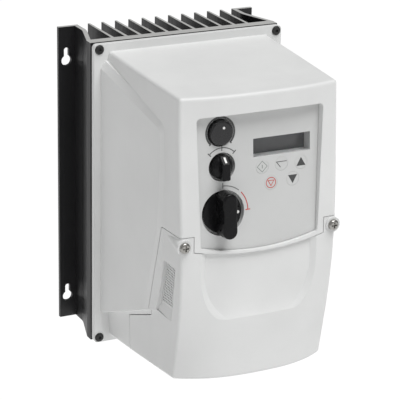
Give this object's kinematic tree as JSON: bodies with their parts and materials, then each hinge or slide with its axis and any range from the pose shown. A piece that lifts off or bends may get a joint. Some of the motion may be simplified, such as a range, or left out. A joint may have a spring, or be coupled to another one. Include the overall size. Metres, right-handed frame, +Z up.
{
  "type": "variable frequency drive",
  "caption": "Wall-mounted sealed variable frequency drive with finned heat sink, sloped housing, removable terminal cover, keypad, speed knob, selector and isolator handle.",
  "frame": {"origin": "centre of the pattern of four keyholes, on the wall plane that the heat sink flanges lie on", "axes": "+X to the right seen from the front, +Y into the wall, +Z up; the front of the drive faces -Y"},
  "size_m": [0.161, 0.1858, 0.232],
  "materials": {
    "sink_paint": "satin black paint",
    "gasket_rubber": "matt",
    "housing_plastic": "fine texture",
    "cover_plastic": "fine texture",
    "grille_plastic": "fine texture",
    "screw_steel": "zinc plated",
    "plug_plastic": "satin",
    "insert_brass": "turned",
    "film_plastic": "satin film",
    "window_clear": "clear",
    "display_dark": "unlit",
    "key_plastic": "satin",
    "knob_black": "semi gloss",
    "shaft_steel": "turned",
    "switch_plastic": "moulded",
    "potentiometer_metal": "pressed",
    "board_green": "solder mask",
    "module_body": "moulded",
    "pad_grey": "matt",
    "pillar_brass": "nickel",
    "capacitor_sleeve": "sleeve",
    "ferrite": "dull",
    "copper_wire": "enamelled",
    "relay_case": "moulded",
    "terminal_green": "moulded",
    "chip_black": "moulded",
    "socket_metal": "pressed",
    "ribbon_grey": "flexible"
  },
  "bodies": {
    "housing": {"base_gasket": "gasket_rubber", "bus_capacitors": "capacitor_sleeve", "choke_core": "ferrite", "choke_windings": "copper_wire", "control_pcb": "board_green", "control_pillars": "pillar_brass", "control_terminals": "terminal_green", "cover_inserts": "insert_brass", "cover_seal": "gasket_rubber", "display_module": "display_dark", "display_window": "window_clear", "enclosure": "housing_plastic", "ground_screw": "screw_steel", "heatsink": "sink_paint", "housing_screws": "screw_steel", "isolator_switch": "switch_plastic", "keypad_overlay": "film_plastic", "keypad_pcb": "board_green", "keypad_screws": "screw_steel", "module_screws": "screw_steel", "network_socket": "socket_metal", "pcb_pillars": "pillar_brass", "pcb_screws": "screw_steel", "power_module": "module_body", "power_pcb": "board_green", "power_terminals": "terminal_green", "processor": "chip_black", "relays": "relay_case", "ribbon_cable": "ribbon_grey", "screw_plugs": "plug_plastic", "selector_switch": "switch_plastic", "shaft_seals": "gasket_rubber", "speed_potentiometer": "potentiometer_metal", "tact_switches": "chip_black", "terminal_screws": "screw_steel", "thermal_pad": "pad_grey"},
    "cover": {"terminal_cover": "cover_plastic", "side_grille_left": "grille_plastic", "side_grille_right": "grille_plastic", "cover_screw_left": "screw_steel", "cover_screw_right": "screw_steel"},
    "speed_knob_body": {"speed_knob": "knob_black", "speed_shaft": "shaft_steel"},
    "selector_knob_body": {"selector_knob": "knob_black", "selector_shaft": "shaft_steel"},
    "isolator_handle_body": {"isolator_handle": "knob_black", "isolator_shaft": "shaft_steel"},
    "key_start_body": {"key_start": "key_plastic"},
    "key_navigate_body": {"key_navigate": "key_plastic"},
    "key_up_body": {"key_up": "key_plastic"},
    "key_stop_body": {"key_stop": "key_plastic"},
    "key_down_body": {"key_down": "key_plastic"}
  },
  "joints": [
    {"name": "cover_removal", "type": "slide", "parent": "housing", "child": "cover", "axis": [0, -1, 0], "range_m": [0, 0.06]},
    {"name": "speed_turn", "type": "hinge", "parent": "housing", "child": "speed_knob_body", "pos_m": [-0.0289, -0.16801, 0.08125], "axis": [0, -0.9972, 0.0748], "range_deg": [-135, 135]},
    {"name": "selector_turn", "type": "hinge", "parent": "housing", "child": "selector_knob_body", "pos_m": [-0.0279, -0.16984, 0.05677], "axis": [0, -0.9972, 0.0748], "range_deg": [-45, 45]},
    {"name": "isolator_turn", "type": "hinge", "parent": "housing", "child": "isolator_handle_body", "pos_m": [-0.0275, -0.17231, 0.02386], "axis": [0, -0.9972, 0.0748], "range_deg": [0, 90]},
    {"name": "key_start_press", "type": "slide", "parent": "housing", "child": "key_start_body", "axis": [0, 0.9972, -0.0748], "range_m": [0, 0.0005], "stiffness_N_per_m": 800, "springref_m": -0.0005},
    {"name": "key_navigate_press", "type": "slide", "parent": "housing", "child": "key_navigate_body", "axis": [0, 0.9972, -0.0748], "range_m": [0, 0.0005], "stiffness_N_per_m": 800, "springref_m": -0.0005},
    {"name": "key_up_press", "type": "slide", "parent": "housing", "child": "key_up_body", "axis": [0, 0.9972, -0.0748], "range_m": [0, 0.0005], "stiffness_N_per_m": 800, "springref_m": -0.0005},
    {"name": "key_stop_press", "type": "slide", "parent": "housing", "child": "key_stop_body", "axis": [0, 0.9972, -0.0748], "range_m": [0, 0.0005], "stiffness_N_per_m": 800, "springref_m": -0.0005},
    {"name": "key_down_press", "type": "slide", "parent": "housing", "child": "key_down_body", "axis": [0, 0.9972, -0.0748], "range_m": [0, 0.0005], "stiffness_N_per_m": 800, "springref_m": -0.0005}
  ]
}
